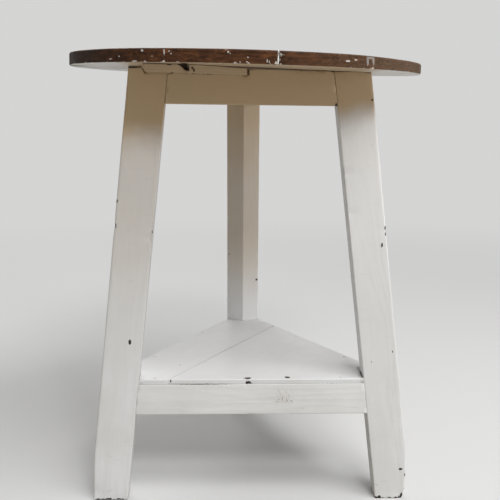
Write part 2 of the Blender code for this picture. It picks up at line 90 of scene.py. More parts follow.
class Tree:
    """Adds linked nodes to the tree of a finish or of a shared effect."""

    def __init__(self, tree):
        self.tree = tree

    def feed(self, socket, value):
        """Sets a socket to a value, or links it to another node's output."""
        if isinstance(value, bpy.types.NodeSocket):
            self.tree.links.new(value, socket)
        elif isinstance(value, Vector):
            socket.default_value = value[:]
        else:
            socket.default_value = value

    def add(self, kind, settings=(), inputs=()):
        """A new node with its settings and inputs."""
        node = self.tree.nodes.new(kind)
        for name, value in dict(settings).items():
            setattr(node, name, value)
        for name, value in dict(inputs).items():
            self.feed(node.inputs[name], value)
        return node

    def reckon(self, operation, *values):
        """The result of a sum on numbers."""
        node = self.add("ShaderNodeMath", {"operation": operation})
        for socket, value in zip(node.inputs, values):
            self.feed(socket, value)
        return node.outputs[0]

    def vector(self, operation, *values):
        """The result of a sum on vectors."""
        node = self.add("ShaderNodeVectorMath", {"operation": operation})
        for socket, value in zip(node.inputs, values):
            self.feed(socket, value)
        single = operation in ("DOT_PRODUCT", "LENGTH")
        return node.outputs["Value" if single else "Vector"]

    def cloud(self, place, scale, detail=2.0, roughness=0.5, distortion=0.0):
        """Soft noise of about 0.3 to 0.7; scale is one number or one for each axis."""
        if isinstance(scale, tuple):
            place = self.vector("MULTIPLY", place, scale)
            scale = 1.0
        texture = self.add("ShaderNodeTexNoise", inputs={
            "Vector": place, "Scale": scale, "Detail": detail,
            "Roughness": roughness, "Distortion": distortion})
        return texture.outputs[0]

    def ease(self, value, low, high, to_low=0.0, to_high=1.0):
        """A smooth step of a value between two limits."""
        node = self.add("ShaderNodeMapRange", {"interpolation_type": "SMOOTHSTEP"})
        for socket, number in zip(node.inputs, (value, low, high, to_low, to_high)):
            self.feed(socket, number)
        return node.outputs[0]

    def blend(self, share, first, second):
        """A mix of two colours."""
        node = self.add("ShaderNodeMix", {"data_type": "RGBA"})
        for number, value in ((0, share), (6, first), (7, second)):
            if isinstance(value, tuple):
                value = (*value, 1.0)
            self.feed(node.inputs[number], value)
        return node.outputs[2]

    def total(self, start, *parts):
        """A value with others added to it, each times its share."""
        for value, share in parts:
            start = self.reckon("ADD", start, self.reckon("MULTIPLY", value, share))
        return start

    def tinted(self, colour, *layers):
        """A colour under tones, each as strong as its mask times its share."""
        for tone, mask, share in layers:
            colour = self.blend(self.reckon("MULTIPLY", mask, share), colour, tone)
        return colour

    def either(self, *masks):
        """The strongest of several masks."""
        strongest = masks[0]
        for mask in masks[1:]:
            strongest = self.reckon("MAXIMUM", strongest, mask)
        return strongest

    def use(self, group, **inputs):
        """Places a shared effect and returns its outputs by name."""
        node = self.add("ShaderNodeGroup", {"node_tree": group})
        for name, value in inputs.items():
            self.feed(node.inputs[name.replace("_", " ").capitalize()], value)
        return {socket.name: socket for socket in node.outputs}


def shared_effect(name, inputs, outputs):
    """An empty node group with named sockets, its inputs by name and its end node."""
    group = bpy.data.node_groups.new(name, "ShaderNodeTree")
    for label, kind, value in inputs:
        socket = group.interface.new_socket(
            label, in_out="INPUT", socket_type="NodeSocket" + kind)
        socket.default_value = value
    for label, kind in outputs:
        group.interface.new_socket(label, in_out="OUTPUT", socket_type="NodeSocket" + kind)
    tree = Tree(group)
    start = tree.add("NodeGroupInput")
    end = tree.add("NodeGroupOutput")
    return group, tree, {socket.name: socket for socket in start.outputs}, end


def make_piece_place():
    """Turns a place on the object into one whose X runs along a piece and Y across its face."""
    group, tree, given, end = shared_effect(
        "place_along_piece",
        (("Place", "Vector", (0, 0, 0)), ("Along", "Vector", (1, 0, 0)),
         ("Across", "Vector", (0, 1, 0))),
        (("Place", "Vector"),))
    through = tree.vector("CROSS_PRODUCT", given["Along"], given["Across"])
    turned = tree.add("ShaderNodeCombineXYZ")
    for number, axis in enumerate((given["Along"], given["Across"], through)):
        tree.feed(turned.inputs[number], tree.vector("DOT_PRODUCT", given["Place"], axis))
    tree.feed(end.inputs[0], turned.outputs[0])
    return group


def make_wood_figure():
    """Growth rings round a pith line along X, and the fibres between them."""
    group, tree, given, end = shared_effect(
        "wood_figure",
        (("Place", "Vector", (0, 0, 0)), ("Pith", "Vector", (0, 0.05, 0.1)),
         ("Ring", "Float", 0.004)),
        (("Rings", "Float"), ("Fibre", "Float"), ("Pores", "Float")))
    wander = tree.cloud(given["Place"], (2.6, 11.0, 11.0), detail=3.0)
    from_pith = tree.vector("SUBTRACT", given["Place"], given["Pith"])
    radius = tree.vector("LENGTH", tree.vector("MULTIPLY", from_pith, (0.06, 1.0, 1.0)))
    radius = tree.total(radius, (wander, 0.034))
    turns = tree.reckon("DIVIDE", radius, given["Ring"])
    wave = tree.reckon("SINE", tree.reckon("MULTIPLY", turns, math.tau))
    late_wood = tree.reckon("POWER", tree.ease(wave, -1.0, 1.0), 2.2)
    fibre = tree.cloud(given["Place"], (22.0, 900.0, 900.0), detail=3.0, roughness=0.6)
    pore = tree.cloud(given["Place"], (60.0, 2600.0, 2600.0), detail=1.0)
    tree.feed(end.inputs["Rings"], late_wood)
    tree.feed(end.inputs["Fibre"], fibre)
    tree.feed(end.inputs["Pores"], tree.ease(pore, 0.60, 0.72))
    return group


def make_brush_marks():
    """Long strokes of a brush along X: thin furrows and broad laps."""
    group, tree, given, end = shared_effect(
        "brush_marks", (("Place", "Vector", (0, 0, 0)),),
        (("Tone", "Float"), ("Height", "Float")))
    wander = tree.cloud(given["Place"], (9.0, 16.0, 16.0), detail=3.0)
    wander = tree.reckon("MULTIPLY", wander, 0.022)
    sideways = tree.add("ShaderNodeCombineXYZ", inputs={1: wander, 2: wander}).outputs[0]
    place = tree.vector("ADD", given["Place"], sideways)
    furrows = tree.cloud(place, (9.0, 620.0, 620.0), detail=2.0, roughness=0.6)
    laps = tree.cloud(place, (3.5, 75.0, 75.0), detail=2.0)
    sags = tree.cloud(given["Place"], (38.0, 60.0, 60.0), detail=2.0)
    tree.feed(end.inputs["Tone"], tree.total(0.0, (laps, 0.6), (furrows, 0.4)))
    tree.feed(end.inputs["Height"], tree.total(0.0, (furrows, 0.5), (laps, 0.5), (sags, 0.8)))
    return group


def make_worn_edge():
    """Where a corner within a reach is rubbed through, broken up by noise."""
    group, tree, given, end = shared_effect(
        "worn_edge",
        (("Place", "Vector", (0, 0, 0)), ("Reach", "Float", 0.003), ("Wear", "Float", 0.3)),
        (("Edge", "Float"), ("Rubbed", "Float")))
    softened = tree.add("ShaderNodeBevel", {"samples": 6}, {"Radius": given["Reach"]})
    facing = tree.add("ShaderNodeNewGeometry").outputs["True Normal"]
    turned = tree.reckon("SUBTRACT", 1.0, tree.vector("DOT_PRODUCT", softened.outputs[0], facing))
    edge = tree.ease(turned, 0.004, 0.14)
    coarse = tree.cloud(given["Place"], 70.0, detail=4.0, roughness=0.62)
    patchy = tree.cloud(given["Place"], 14.0, detail=2.0)
    chance = tree.total(0.0, (coarse, 0.62), (patchy, 0.38), (given["Wear"], 0.35))
    rubbed = tree.ease(tree.reckon("MULTIPLY", chance, edge), 0.60, 0.64)
    tree.feed(end.inputs["Edge"], edge)
    tree.feed(end.inputs["Rubbed"], rubbed)
    return group


def make_flake():
    """A ragged patch round a centre, for a chip or a splash."""
    group, tree, given, end = shared_effect(
        "flake",
        (("Place", "Vector", (0, 0, 0)), ("Centre", "Vector", (0, 0, 0)),
         ("Half", "Vector", (1, 1, 1)), ("Rag", "Float", 0.5)),
        (("Mask", "Float"),))
    from_centre = tree.vector("SUBTRACT", given["Place"], given["Centre"])
    distance = tree.vector("LENGTH", tree.vector("DIVIDE", from_centre, given["Half"]))
    broken = tree.cloud(given["Place"], 420.0, detail=3.0, roughness=0.6)
    broken = tree.reckon("MULTIPLY", tree.reckon("SUBTRACT", broken, 0.5), given["Rag"])
    reached = tree.total(distance, (broken, 2.0))
    tree.feed(end.inputs["Mask"], tree.ease(reached, 0.92, 1.05, 1.0, 0.0))
    return group


def make_grime():
    """Soft clouds of dirt, fly spots and small scuffs."""
    group, tree, given, end = shared_effect(
        "grime",
        (("Place", "Vector", (0, 0, 0)),),
        (("Clouds", "Float"), ("Spots", "Float"), ("Scuffs", "Float")))
    clouds = tree.cloud(given["Place"], 7.0, detail=5.0, roughness=0.6)
    spots = tree.add("ShaderNodeTexVoronoi", {"feature": "F1"},
                     {"Vector": given["Place"], "Scale": 42.0, "Randomness": 1.0})
    chosen = tree.ease(tree.cloud(given["Place"], 11.0, detail=1.0), 0.50, 0.60)
    near = tree.ease(spots.outputs["Distance"], 0.018, 0.045, 1.0, 0.0)
    scratch = tree.cloud(given["Place"], (26.0, 300.0, 300.0), detail=3.0, roughness=0.7,
                         distortion=0.6)
    tree.feed(end.inputs["Clouds"], tree.ease(clouds, 0.36, 0.70))
    tree.feed(end.inputs["Spots"], tree.reckon("MULTIPLY", near, chosen))
    tree.feed(end.inputs["Scuffs"], tree.ease(scratch, 0.64, 0.72))
    return group


def make_rust():
    """Brown bloom and pits on old steel."""
    group, tree, given, end = shared_effect(
        "rust", (("Place", "Vector", (0, 0, 0)),), (("Bloom", "Float"), ("Pits", "Float")))
    bloom = tree.cloud(given["Place"], 520.0, detail=4.0, roughness=0.65)
    pits = tree.cloud(given["Place"], 2600.0, detail=2.0)
    tree.feed(end.inputs["Bloom"], tree.ease(bloom, 0.40, 0.60))
    tree.feed(end.inputs["Pits"], pits)
    return group


piece_place = make_piece_place()
wood_figure = make_wood_figure()
brush_marks = make_brush_marks()
worn_edge = make_worn_edge()
flake = make_flake()
grime = make_grime()
rust = make_rust()

# Linear colours
fresh_white = (0.640, 0.634, 0.628)
# Lighter and bluer than the legs' white: painted light standing in for the brighter, cooler light
# on the shelf
lit_shelf_white = (0.670, 0.674, 0.678)
rail_white = (0.692, 0.691, 0.690)
palest_white = (0.735, 0.738, 0.748)
old_white = (0.578, 0.568, 0.553)
# Tan for real stains, and for painted warm shade on the parts under the top
smoke_and_shade_tan = (0.425, 0.305, 0.172)
dirt = (0.150, 0.112, 0.075)
bare_dark = (0.016, 0.010, 0.007)
bare_brown = (0.075, 0.036, 0.018)
torn_brown = (0.240, 0.115, 0.052)
studio_pale = (0.66, 0.66, 0.655)


def new_finish(name):
    """A material, with its tree, its shader and the place on the object."""
    material = bpy.data.materials.new(name)
    material.use_nodes = True
    tree = Tree(material.node_tree)
    shader = material.node_tree.nodes["Principled BSDF"]
    place = tree.add("ShaderNodeTexCoord").outputs["Object"]
    return material, tree, shader, place


def add_relief(tree, shader, height):
    """Bump from a height in metres."""
    bump = tree.add("ShaderNodeBump", inputs={"Strength": 1.0, "Distance": 1.0, "Height": height})
    tree.feed(shader.inputs["Normal"], bump.outputs[0])


def flakes_at(tree, place, flakes):
    """One mask for several flakes, each a centre, half sizes and raggedness."""
    masks = [tree.use(flake, place=place, centre=centre, half=half, rag=rag)["Mask"]
             for centre, half, rag in flakes]
    return tree.either(*masks)


def behind_front(tree, place):
    """Where a place lies behind the front side's faces, which lean back."""
    lean = 0.06305
    depth_at_floor = 0.156037
    depth = tree.vector("DOT_PRODUCT", place, (0.0, 1.0, -lean))
    return tree.ease(tree.reckon("ADD", depth, depth_at_floor), 0.0003, 0.0009)


def paint_finish(name, along, across, flakes=(), wear=0.1, relief=1.0, white=fresh_white,
                 pith=(0, 0.06, 0.09), polish=0.0, foot=0.0, smoke_and_shade=0.0, smoke_and_shade_reach=(0.50, 0.66),
                 shade_haze=0.0, shade_haze_reach=(0.3, 0.4), seam=None, knot=None, broken=False):
    """Old white paint on brown wood, with strokes and grain along a piece.

    wear rubs the corners and relief raises the grain. polish takes roughness away. foot is how
    high the wood is bare over the floor. The two tan tints each lie between two heights: the
    first goes round the piece and is smoke stain mixed with painted warm shade, and the second
    is painted warm shade on the faces turned to the front. seam is a joint's start and the
    direction across it. knot is its centre, half sizes and cuts. broken bares what lies behind
    the front.
    """
    material, tree, shader, place = new_finish(name)
    laid = tree.use(piece_place, place=place, along=along, across=across)["Place"]
    strokes = tree.use(brush_marks, place=laid)
    wood = tree.use(wood_figure, place=laid, pith=pith, ring=0.0042)
    dirty = tree.use(grime, place=place)
    edge = tree.use(worn_edge, place=place, reach=0.0028, wear=wear)
    height_above_floor = tree.add("ShaderNodeSeparateXYZ", inputs={0: place}).outputs[2]

    if foot:
        white = tree.blend(tree.ease(height_above_floor, 0.04, 0.32), palest_white, white)
    least_white = 0.85 if polish else 0.62
    whiteness = tree.ease(strokes["Tone"], 0.30, 0.68, least_white, 1.0)
    colour = tree.blend(whiteness, old_white, white)
    colour = tree.tinted(colour, (old_white, dirty["Clouds"], 0.60))
    if shade_haze or smoke_and_shade:
        normal = tree.add("ShaderNodeNewGeometry").outputs["Normal"]
        facing = tree.ease(tree.vector("DOT_PRODUCT", normal, (0.0, -1.0, 0.0)), 0.0, 0.4)
    # Painted warm shade on the faces turned to the front, between two heights
    if shade_haze:
        shade_hazed = tree.ease(height_above_floor, *shade_haze_reach, 0.0, shade_haze)
        colour = tree.tinted(colour, (smoke_and_shade_tan, shade_hazed, facing))
    # Smoke stain mixed with painted warm shade: tan over the upper part and its corners,
    # strongest on the faces turned to the front
    if smoke_and_shade:
        upper = tree.total(height_above_floor, (dirty["Clouds"], 0.02))
        upper = tree.ease(upper, *smoke_and_shade_reach)
        smoked_and_shaded = tree.total(upper, (edge["Edge"], 0.25))
        most = tree.ease(facing, 0.0, 1.0, 0.6 * smoke_and_shade, smoke_and_shade)
        smoked_and_shaded = tree.reckon("MULTIPLY", smoked_and_shaded, most)
        colour = tree.tinted(colour, (smoke_and_shade_tan, smoked_and_shaded, upper))
    colour = tree.tinted(
        colour, (smoke_and_shade_tan, edge["Edge"], 0.03), (dirt, dirty["Scuffs"], 0.10),
        (dirt, dirty["Spots"], 0.40), (smoke_and_shade_tan, wood["Rings"], 0.008 * relief))

    if seam:
        start, across_seam = seam
        from_start = tree.vector("SUBTRACT", place, start)
        off_seam = tree.vector("DOT_PRODUCT", from_start, across_seam)
        line = tree.ease(tree.reckon("ABSOLUTE", off_seam), 0.0004, 0.0014, 0.50, 0.0)
        depth = tree.vector("DOT_PRODUCT", place, (0.0, 1.0, 0.0))
        colour = tree.tinted(colour, (dirt, line, tree.ease(depth, -0.10, 0.03, 0.08, 1.0)))
    if knot:
        centre, half, cuts = knot
        from_centre = tree.vector("SUBTRACT", place, centre)
        ring = tree.vector("LENGTH", tree.vector("DIVIDE", from_centre, half))
        colour = tree.blend(tree.ease(ring, 0.3, 1.2, 0.08, 0.0), colour, smoke_and_shade_tan)
        cut = flakes_at(tree, place, cuts)
        colour = tree.tinted(colour, (dirt, cut, 0.36))

    lost = edge["Rubbed"]
    if flakes:
        lost = tree.either(lost, flakes_at(tree, place, flakes))
    if foot:
        ragged = tree.cloud(place, (95.0, 95.0, 60.0), detail=5.0, roughness=0.7)
        ragged = tree.ease(ragged, 0.39, 0.64, 0.0003, foot)
        over_line = tree.reckon("SUBTRACT", height_above_floor, ragged)
        lost = tree.either(lost, tree.ease(over_line, -0.0004, 0.0003, 1.0, 0.0))
        splash = tree.ease(height_above_floor, 0.0, 0.10, 0.5, 0.0)
        colour = tree.tinted(colour, (dirt, splash, dirty["Scuffs"]), (old_white, splash, 0.12))
    if broken:
        lost = tree.either(lost, behind_front(tree, place))
    fibres = tree.ease(wood["Fibre"], 0.42, 0.90)
    bare = tree.blend(fibres, bare_dark, torn_brown if broken else bare_brown)
    tree.feed(shader.inputs["Base Color"], tree.blend(lost, colour, bare))

    roughness = tree.ease(strokes["Tone"], 0.3, 0.7, 0.52 - polish, 0.42 - polish)
    roughness = tree.total(roughness, (dirty["Clouds"], 0.10), (lost, 0.22))
    tree.feed(shader.inputs["Roughness"], roughness)

    stroke_height = 0.00005 if polish else 0.00011
    ridges = tree.total(wood["Rings"], (wood["Fibre"], 0.8))
    height = tree.total(0.0, (strokes["Height"], stroke_height), (ridges, 0.00006 * relief))
    if knot:
        strands = tree.cloud(place, (330.0, 100.0, 105.0), 3.0, 0.6, 0.8)
        strands = tree.ease(strands, 0.42, 0.66)
        rough_knot = tree.reckon("MULTIPLY", tree.ease(ring, 0.1, 1.2, 1.0, 0.0), strands)
        height = tree.total(height, (rough_knot, 0.00045), (cut, -0.0010))
    add_relief(tree, shader, tree.total(height, (lost, -0.00028)))
    return material


# Paint on the rim of the top, and a gap in it: centre, half sizes and raggedness
rim_splashes = (
    ((-0.1413, -0.2365, 0.6750), (0.0016, 0.0030, 0.0016), 1.2),
    ((-0.1117, -0.2521, 0.6722), (0.0009, 0.0030, 0.0036), 1.3),
    ((-0.1051, -0.2550, 0.6730), (0.0009, 0.0030, 0.0009), 0.9),
    ((-0.1025, -0.2561, 0.6697), (0.0011, 0.0030, 0.0009), 0.9),
    ((-0.1278, -0.2443, 0.6672), (0.0008, 0.0030, 0.0006), 0.8),
    ((-0.1870, -0.2020, 0.6660), (0.0026, 0.0030, 0.0009), 1.6),
    ((-0.1740, -0.2130, 0.6690), (0.0012, 0.0030, 0.0008), 1.2),
    ((-0.1520, -0.2300, 0.6612), (0.0036, 0.0040, 0.0018), 1.4),
    ((-0.0296, -0.2746, 0.6702), (0.0012, 0.0030, 0.0015), 1.1),
    ((-0.0324, -0.2743, 0.6735), (0.0018, 0.0030, 0.0006), 1.4),
    ((-0.0272, -0.2748, 0.6684), (0.0007, 0.0030, 0.0007), 0.9),
    ((-0.0047, -0.2760, 0.6636), (0.0009, 0.0030, 0.0007), 0.8),
    ((-0.0147, -0.2757, 0.6578), (0.0010, 0.0030, 0.0008), 0.9),
    ((-0.0059, -0.2760, 0.6578), (0.0010, 0.0030, 0.0008), 0.9),
    ((0.0196, -0.2753, 0.6590), (0.0006, 0.0030, 0.0022), 1.2),
    ((0.0222, -0.2751, 0.6580), (0.0006, 0.0030, 0.0014), 1.0),
    ((0.0364, -0.2735, 0.6672), (0.0034, 0.0030, 0.0019), 1.5),
    ((0.0350, -0.2737, 0.6610), (0.0010, 0.0030, 0.0020), 1.2),
    ((0.0312, -0.2741, 0.6566), (0.0022, 0.0030, 0.0018), 1.4),
    ((0.1262, -0.2452, 0.6595), (0.0036, 0.0040, 0.0011), 1.2),
    ((0.1376, -0.2389, 0.6612), (0.0022, 0.0040, 0.0009), 1.8),
)
rim_smears = (
    ((0.1594, -0.2252, 0.6640), (0.0066, 0.0100, 0.0013), 0.7),
    ((0.1552, -0.2278, 0.6600), (0.0017, 0.0060, 0.0058), 0.8),
    ((0.1640, -0.2215, 0.6600), (0.0017, 0.0060, 0.0054), 0.8),
)
rim_gap = (((-0.0905, -0.165, 0.657), (0.0060, 0.07, 0.02), 0.6),)


def top_finish(name, pith, grey):
    """Bare brown wood, with white paint under the top and its drips and splashes on the rim."""
    material, tree, shader, place = new_finish(name)
    laid = tree.use(piece_place, place=place, along=(0, 1, 0), across=top_across)["Place"]
    wood = tree.use(wood_figure, place=laid, pith=pith, ring=0.0065)
    dirty = tree.use(grime, place=place)
    edge = tree.use(worn_edge, place=place, reach=0.0030, wear=0.5)
    strokes = tree.use(brush_marks, place=laid)
    rightwards = tree.add("ShaderNodeSeparateXYZ", inputs={0: place}).outputs[0]
    from_top = tree.vector("SUBTRACT", place, top_middle)
    above = tree.vector("DOT_PRODUCT", from_top, top_normal)
    facing = tree.add("ShaderNodeTexCoord").outputs["Normal"]
    facing_up = tree.vector("DOT_PRODUCT", facing, top_normal)
    on_rim = tree.ease(tree.reckon("ABSOLUTE", facing_up), 0.45, 0.80, 1.0, 0.0)
    on_board = tree.reckon("SUBTRACT", 1.0, on_rim)

    dark = (0.022, 0.0105, 0.0055)
    red = (0.105, 0.042, 0.019)
    rusty = (0.175, 0.068, 0.026)
    light = (0.185, 0.098, 0.048)
    weathered = (0.150, 0.105, 0.068)
    black = (0.016, 0.009, 0.006)
    seam_black = (0.012, 0.007, 0.005)
    stain = tree.cloud(place, (60.0, 60.0, 150.0), detail=5.0, roughness=0.68)
    tone = tree.total(0.0, (wood["Fibre"], 0.45), (stain, 0.55))
    rusty_patch = tree.cloud(place, (34.0, 34.0, 120.0), detail=4.0, roughness=0.6)
    rusty_patch = tree.ease(rusty_patch, 0.54, 0.66)
    greyer = tree.ease(rightwards, 0.02, 0.24, 0.05, grey)
    blacker = tree.ease(rightwards, -0.26, -0.10, 0.80, 0.0)
    from_middle = tree.vector("LENGTH", tree.vector("MULTIPLY", place, (1.0, 1.0, 0.0)))
    rubbed = tree.reckon("MULTIPLY", tree.ease(from_middle, 0.05, 0.25, 0.55, 0.15), on_board)
    patch = tree.ease(tree.cloud(place, (9.0, 5.0, 9.0), detail=4.0, roughness=0.6), 0.35, 0.65)
    sideways = tree.vector("DOT_PRODUCT", from_top, top_across)
    off_seam = tree.reckon("ABSOLUTE", tree.reckon("SUBTRACT", sideways, top_seam))
    seam_line = tree.ease(off_seam, 0.0003, 0.0012, 0.75, 0.0)
    colour = tree.blend(tree.ease(tone, 0.36, 0.62), dark, red)
    colour = tree.tinted(
        colour,
        (dark, wood["Rings"], 0.35),
        (rusty, rusty_patch, tree.ease(rightwards, 0.0, 0.10, 0.6, 0.2)),
        (weathered, greyer, tree.ease(wood["Fibre"], 0.35, 0.65)),
        (black, blacker, on_rim),
        (light, rubbed, patch),
        (dark, wood["Pores"], 0.5),
        (light, edge["Rubbed"], 0.35),
        (seam_black, seam_line, on_board),
        (old_white, flakes_at(tree, place, rim_smears), 0.34))

    ragged = tree.cloud(place, (120.0, 120.0, 30.0), detail=5.0, roughness=0.68)
    ragged = tree.ease(ragged, 0.50, 0.70, -0.0006, 0.0030)
    painted = tree.ease(tree.reckon("SUBTRACT", above, ragged), -0.0001, 0.0002, 1.0, 0.0)
    painted = tree.either(painted, tree.ease(facing_up, -0.80, -0.70, 1.0, 0.0))
    from_axis = tree.vector("SUBTRACT", place, axis_place)
    reaches = [tree.vector("DOT_PRODUCT", from_axis, outward(side)) for side in side_turns]
    reach = tree.reckon("ADD", tree.either(*reaches), ragged)
    painted = tree.reckon("MULTIPLY", painted, tree.ease(reach, 0.0935, 0.0950))
    whole = tree.reckon("SUBTRACT", 1.0, flakes_at(tree, place, rim_gap))
    painted = tree.reckon("MULTIPLY", painted, whole)
    splashed = tree.reckon("MULTIPLY", flakes_at(tree, place, rim_splashes), on_rim)
    painted = tree.either(painted, tree.reckon("MULTIPLY", splashed, 0.8))
    # Painted shade mixed with smoke stain: the paint under the middle of the top is tan
    smoked_and_shaded = tree.ease(tree.reckon("ABSOLUTE", rightwards), 0.15, 0.20, 0.85, 0.0)
    grimy = tree.ease(rightwards, -0.26, -0.22, 0.8, 0.0)
    # The paint under the top runs from the legs' white to a paler one: a painted lift standing in
    # for light thrown up from the floor
    paint = tree.blend(tree.ease(strokes["Tone"], 0.30, 0.68), fresh_white, palest_white)
    paint = tree.tinted(
        paint, (smoke_and_shade_tan, dirty["Clouds"], 0.30), (smoke_and_shade_tan, on_rim, 0.25),
        (smoke_and_shade_tan, smoked_and_shaded, on_board), (dirt, grimy, dirty["Clouds"]))
    tree.feed(shader.inputs["Base Color"], tree.blend(painted, colour, paint))

    roughness = tree.reckon("ADD", wood["Fibre"], dirty["Clouds"])
    roughness = tree.ease(roughness, 0.5, 1.3, 0.42, 0.66)
    tree.feed(shader.inputs["Roughness"], tree.total(roughness, (on_rim, 0.14)))
    tree.feed(shader.inputs["Specular IOR Level"], tree.ease(on_rim, 0.0, 1.0, 0.35, 0.07))
    add_relief(tree, shader, tree.total(
        0.0, (wood["Fibre"], 0.00016), (wood["Rings"], 0.00007), (wood["Pores"], -0.00012),
        (painted, 0.00018)))
    return material


def filler_finish():
    """Chalky filler, dirty in its cracks."""
    material, tree, shader, place = new_finish("seam_filler_chalk")
    dirty = tree.use(grime, place=place)
    crumbs = tree.cloud(place, 900.0, detail=4.0, roughness=0.65)
    fallen_out = tree.ease(tree.cloud(place, 260.0, detail=4.0, roughness=0.7), 0.50, 0.56)
    colour = tree.blend(tree.ease(crumbs, 0.34, 0.48), (0.34, 0.29, 0.22), (0.74, 0.73, 0.70))
    colour = tree.tinted(
        colour, (smoke_and_shade_tan, dirty["Clouds"], 0.2), (bare_brown, fallen_out, 0.85))
    tree.feed(shader.inputs["Base Color"], colour)
    tree.feed(shader.inputs["Roughness"], tree.ease(crumbs, 0.3, 0.7, 0.85, 0.65))
    add_relief(tree, shader, tree.reckon("MULTIPLY", crumbs, 0.0003))
    return material


def dowel_finish():
    """Pale dowel wood with its grain along the dowel."""
    material, tree, shader, place = new_finish("dowel_wood")
    laid = tree.use(piece_place, place=place, along=top_across, across=(0, 1, 0))["Place"]
    wood = tree.use(wood_figure, place=laid, pith=(0, 0.02, 0.64), ring=0.0015)
    colour = tree.blend(wood["Fibre"], (0.36, 0.23, 0.12), (0.52, 0.36, 0.20))
    colour = tree.tinted(colour, ((0.30, 0.18, 0.09), wood["Rings"], 0.4))
    tree.feed(shader.inputs["Base Color"], colour)
    tree.feed(shader.inputs["Roughness"], tree.ease(wood["Fibre"], 0.3, 0.7, 0.75, 0.6))
    add_relief(tree, shader, tree.reckon("MULTIPLY", wood["Fibre"], 0.0001))
    return material


def steel_finish(name, paint_low, paint_high, steel=(0.30, 0.29, 0.28)):
    """Old steel, rusted, and painted over where noise falls between two limits."""
    material, tree, shader, place = new_finish(name)
    rusty = tree.use(rust, place=place)
    coated = tree.cloud(place, 34.0, detail=5.0, roughness=0.6)
    coated = tree.ease(coated, paint_low, paint_high)
    colour = tree.blend(rusty["Bloom"], steel, (0.105, 0.042, 0.018))
    tree.feed(shader.inputs["Base Color"], tree.blend(coated, colour, old_white))
    bare = tree.reckon("SUBTRACT", 1.0, tree.either(rusty["Bloom"], coated))
    tree.feed(shader.inputs["Metallic"], tree.reckon("MULTIPLY", bare, 0.9))
    tree.feed(shader.inputs["Roughness"], tree.ease(rusty["Bloom"], 0.0, 1.0, 0.38, 0.75))
    height = tree.total(0.0, (rusty["Pits"], 0.00006), (coated, 0.00010))
    add_relief(tree, shader, height)
    return material


# Worked wood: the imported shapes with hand-planed faces, softened corners and dents

def welded(node):
    """The node's mesh with split corners joined and flat faces made whole."""
    mesh = bmesh.new()
    mesh.from_mesh(nodes[node].data)
    bmesh.ops.remove_doubles(mesh, verts=mesh.verts[:], dist=1e-6)
    bmesh.ops.dissolve_limit(mesh, angle_limit=math.radians(0.05), verts=mesh.verts[:],
                             edges=mesh.edges[:])
    return mesh


def knocked(mesh, knocks):
    """Dents of a depth at places, each within a radius."""
    mesh.normal_update()
    for centre, radius, depth in knocks:
        for vertex in mesh.verts:
            share = (vertex.co - Vector(centre)).length / radius
            if share < 1:
                vertex.co -= vertex.normal * depth * (1 - share * share)


def cut_across(mesh, place, normal):
    """New edges where a plane meets the faces."""
    bmesh.ops.bisect_plane(mesh, geom=mesh.verts[:] + mesh.edges[:] + mesh.faces[:],
                           plane_co=place, plane_no=normal, dist=1e-6)


def sliced(mesh, spacing):
    """Cuts the faces along three sets of planes, so that they can bend."""
    low = [min(vertex.co[axis] for vertex in mesh.verts) for axis in range(3)]
    high = [max(vertex.co[axis] for vertex in mesh.verts) for axis in range(3)]
    for axis in range(3):
        if not spacing[axis]:
            continue
        normal = Vector([float(axis == number) for number in range(3)])
        count = int((high[axis] - low[axis]) / spacing[axis])
        step = (high[axis] - low[axis]) / (count + 1)
        for number in range(1, count + 1):
            cut_across(mesh, normal * (low[axis] + number * step), normal)


def corner_share(vertex):
    """How much a vertex lies on a corner: 0 in a flat face, 1 on a sharp corner."""
    least = min(vertex.normal.dot(face.normal) for face in vertex.link_faces)
    full_corner = 0.12
    return min(1.0, max(0.0, (1.0 - least) / full_corner))


def layered_noise(place, main, second):
    """Noise at two scales, of which the first is the stronger."""
    return noise.noise(place * main) * 0.6 + noise.noise(place * second) * 0.4


def wrought(mesh, wave, dent, seed, film):
    """Moves the skin: out by a film, in shallow waves, and in at dents on the corners."""
    least_knock = 0.12
    full_knock = 0.52
    mesh.normal_update()
    moves = []
    for vertex in mesh.verts:
        place = vertex.co + Vector((seed, seed, seed))
        depth = film + wave * layered_noise(place, 9.0, 31.0)
        corner = corner_share(vertex)
        if corner:
            knock = layered_noise(place, 85.0, 24.0)
            knock = max(0.0, knock - least_knock) / (full_knock - least_knock)
            depth -= dent * corner * knock
        moves.append((vertex, vertex.normal * depth))
    for vertex, move in moves:
        vertex.co += move


def worked_wood(node, finish, spacing, wave, dent, seed, film=0.0, cuts=(), bend=None,
                knocks=()):
    """A piece that stands for a node, with its shape worked over.

    spacing is the distance between the cuts along each axis. wave and dent are the depths of the
    planing and of the worn corners. film is the paint's thickness.
    """
    mesh = welded(node)
    sliced(mesh, spacing)
    for place, normal in cuts:
        cut_across(mesh, place, normal)
    if bend:
        for vertex in mesh.verts:
            vertex.co += bend(vertex.co)
    wrought(mesh, wave, dent, seed, film)
    knocked(mesh, knocks)
    many_sided = [face for face in mesh.faces if len(face.verts) > 4]
    bmesh.ops.triangulate(mesh, faces=many_sided)
    data = bpy.data.meshes.new("worked_" + node)
    mesh.to_mesh(data)
    mesh.free()
    data.materials.append(finish)
    data.shade_smooth()
    data.set_sharp_from_angle(angle=math.radians(38))
    piece = bpy.data.objects.new("worked_" + node, data)
    bpy.context.scene.collection.objects.link(piece)
    even = piece.modifiers.new("flat_faces", "WEIGHTED_NORMAL")
    even.keep_sharp = True
    even.weight = 80
    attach(piece, "root")
    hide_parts(node)
    return piece


# The hollow under the top and the strip that fills it: how far they rise at places from left
# to right

